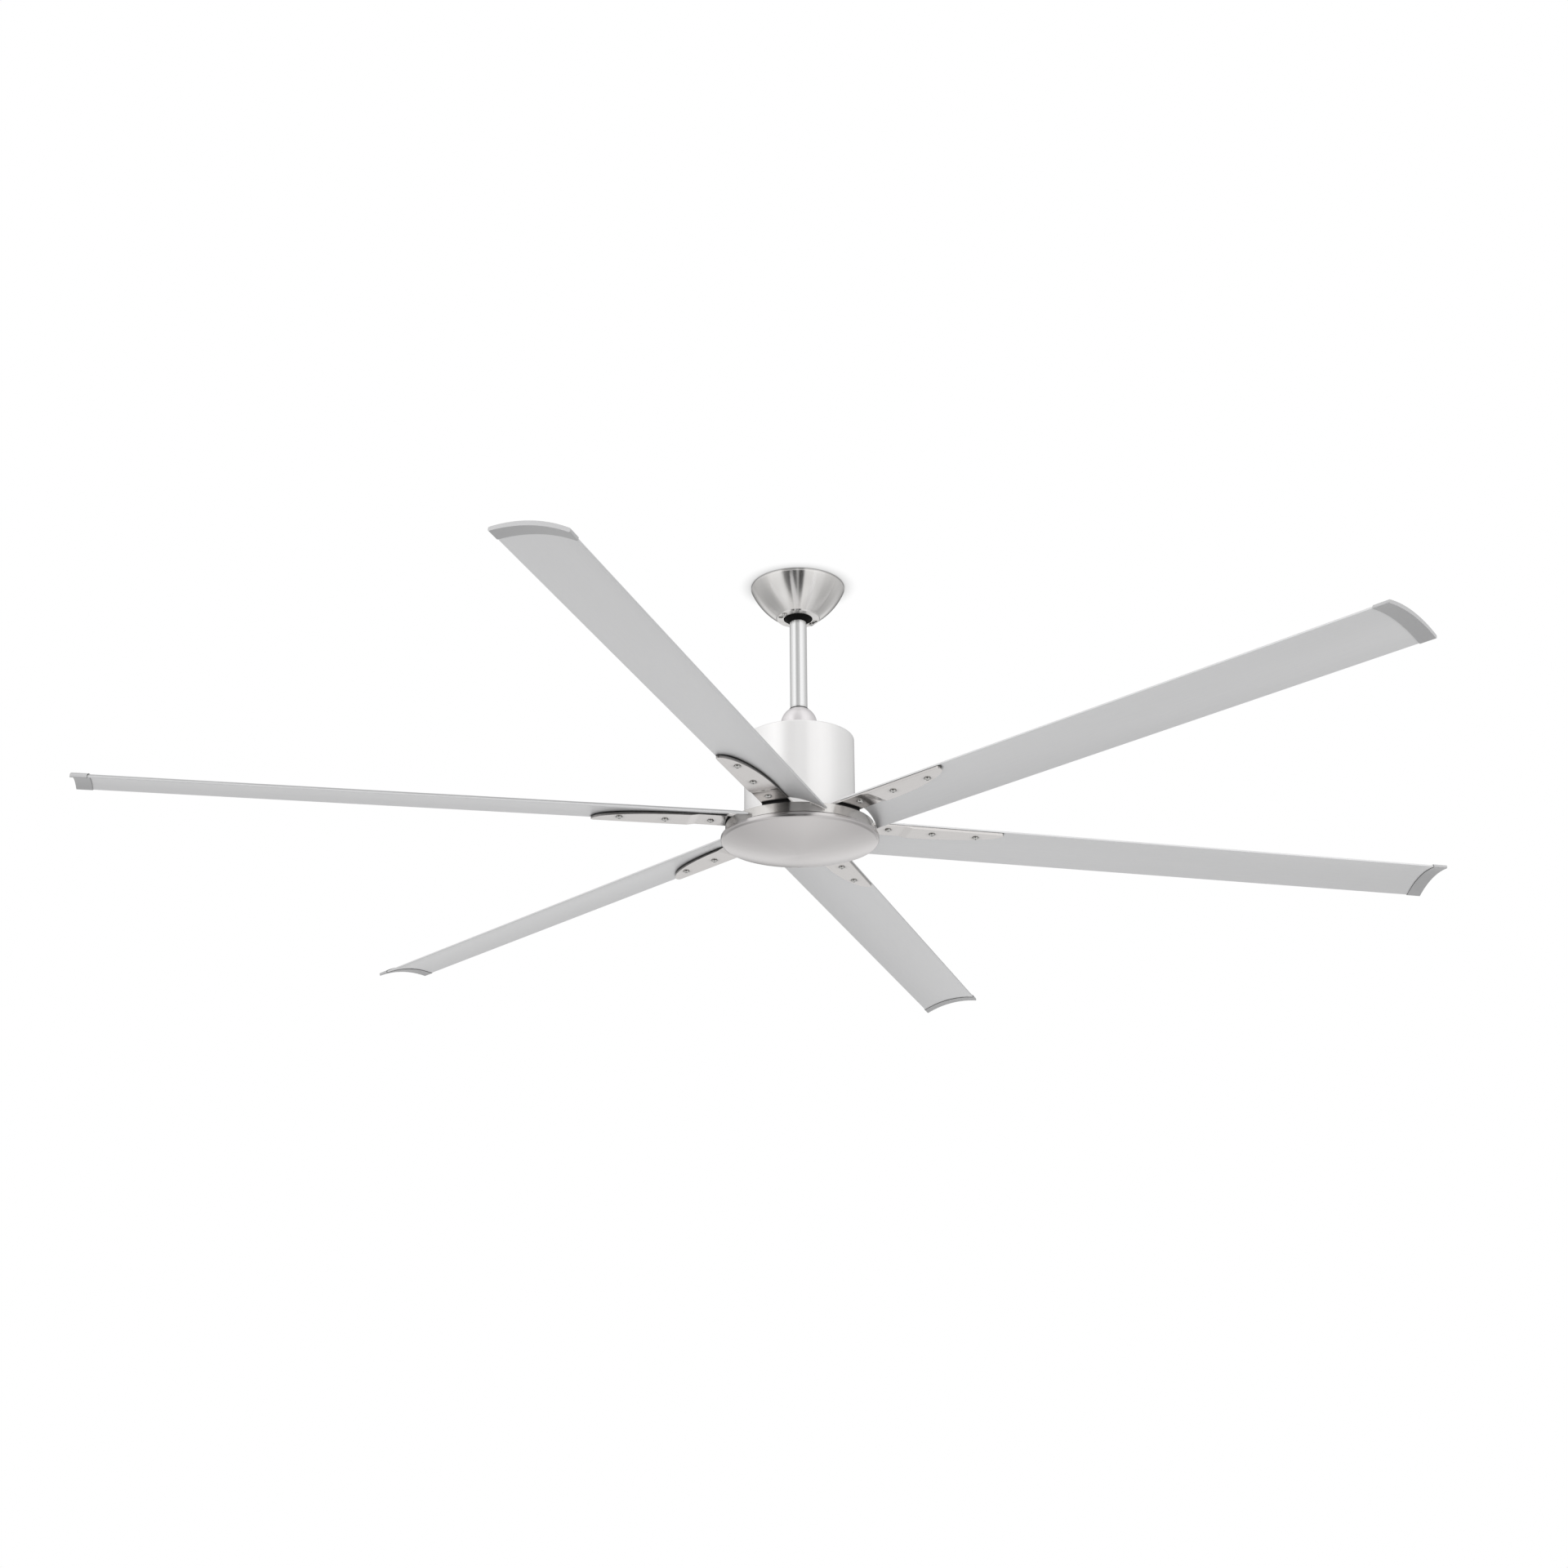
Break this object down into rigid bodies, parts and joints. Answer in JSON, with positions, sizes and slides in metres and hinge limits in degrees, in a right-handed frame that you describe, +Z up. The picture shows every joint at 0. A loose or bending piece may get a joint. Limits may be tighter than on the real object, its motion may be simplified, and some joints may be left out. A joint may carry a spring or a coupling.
{
  "type": "ceiling fan",
  "caption": "Large ceiling fan with long arched blades on fin-shaped brackets, a drum motor housing, a downrod and a bowl-shaped canopy.",
  "frame": {"origin": "on the fan's axis in the ceiling plane, at the centre of the hanger bracket's two slots", "axes": "+Z up along the fan's axis, +X along the hanger bracket's length, -Y towards the viewer"},
  "size_m": [2.0896, 2.077, 0.4495],
  "materials": {
    "zinc_steel": "zinc plated",
    "bright_steel": "bright plated",
    "bearing_steel": "ground",
    "lamination_steel": "varnished",
    "brushed_nickel": "radially brushed nickel",
    "brushed_nickel_cap": "brushed nickel",
    "brushed_nickel_hub": "brushed nickel",
    "satin_nickel_rod": "satin nickel",
    "satin_nickel_cover": "satin nickel",
    "satin_nickel_housing": "satin nickel",
    "satin_nickel_bracket": "satin nickel",
    "blade_silver": "matte silver",
    "end_cap_grey": "matte grey",
    "black_nylon": "moulded black",
    "black_rubber": "matte black",
    "white_plastic": "moulded",
    "green_screw": "green",
    "lead_insulation": "insulated lead",
    "cast_zinc": "as cast",
    "copper_enamel": "enamelled copper",
    "circuit_board": "solder mask",
    "capacitor_sleeve": "sleeved",
    "plain_aluminium": "extruded",
    "cast_aluminium": "machined casting",
    "magnet": "plated"
  },
  "bodies": {
    "ceiling_mount": {"hanger_bracket": "zinc_steel", "canopy": "brushed_nickel", "canopy_screws": "bright_steel", "terminal_block": "white_plastic", "earth_screw": "green_screw"},
    "hanging_motor": {"hanger_ball": "black_nylon", "ball_pin": "zinc_steel", "ball_set_screw": "zinc_steel", "downrod": "satin_nickel_rod", "lead_connector": "white_plastic", "motor_leads": "lead_insulation", "rod_yoke": "cast_zinc", "yoke_pin": "zinc_steel", "yoke_clip": "zinc_steel", "yoke_set_screws": "zinc_steel", "coupling_cover": "satin_nickel_cover", "cover_seal": "black_rubber", "motor_housing": "satin_nickel_housing", "housing_screws": "zinc_steel", "motor_shaft": "zinc_steel", "bearing_inner_rings": "bearing_steel", "stator_core": "lamination_steel", "stator_windings": "copper_enamel", "stator_insulators": "white_plastic", "shaft_nut": "zinc_steel", "cap_plate": "zinc_steel", "bottom_cap": "brushed_nickel_cap", "driver_board": "circuit_board", "board_standoffs": "white_plastic", "driver_capacitor": "capacitor_sleeve", "driver_heatsink": "plain_aluminium", "receiver_board": "circuit_board"},
    "rotor": {"rotor_shell": "cast_aluminium", "rotor_magnets": "magnet", "bearing_outer_rings": "bearing_steel", "bearing_balls": "bearing_steel", "hub_ring": "brushed_nickel_hub", "shell_screws": "zinc_steel", "bracket_gaskets": "black_rubber", "hub_bolts": "bright_steel", "blade_screws": "bright_steel", "blade_bracket_1": "satin_nickel_bracket", "blade_bracket_2": "satin_nickel_bracket", "blade_bracket_3": "satin_nickel_bracket", "blade_bracket_4": "satin_nickel_bracket", "blade_bracket_5": "satin_nickel_bracket", "blade_bracket_6": "satin_nickel_bracket", "blade_1": "blade_silver", "blade_2": "blade_silver", "blade_3": "blade_silver", "blade_4": "blade_silver", "blade_5": "blade_silver", "blade_6": "blade_silver", "blade_end_cap_1": "end_cap_grey", "blade_end_cap_2": "end_cap_grey", "blade_end_cap_3": "end_cap_grey", "blade_end_cap_4": "end_cap_grey", "blade_end_cap_5": "end_cap_grey", "blade_end_cap_6": "end_cap_grey"}
  },
  "joints": [
    {"name": "hanger_tilt", "type": "hinge", "parent": "ceiling_mount", "child": "hanging_motor", "pos_m": [0, 0, -0.039], "axis": [1, 0, 0], "range_deg": [-15, 15]},
    {"name": "blade_spin", "type": "hinge", "parent": "hanging_motor", "child": "rotor", "pos_m": [0, 0, -0.41], "axis": [0, 0, 1], "continuous": true}
  ]
}
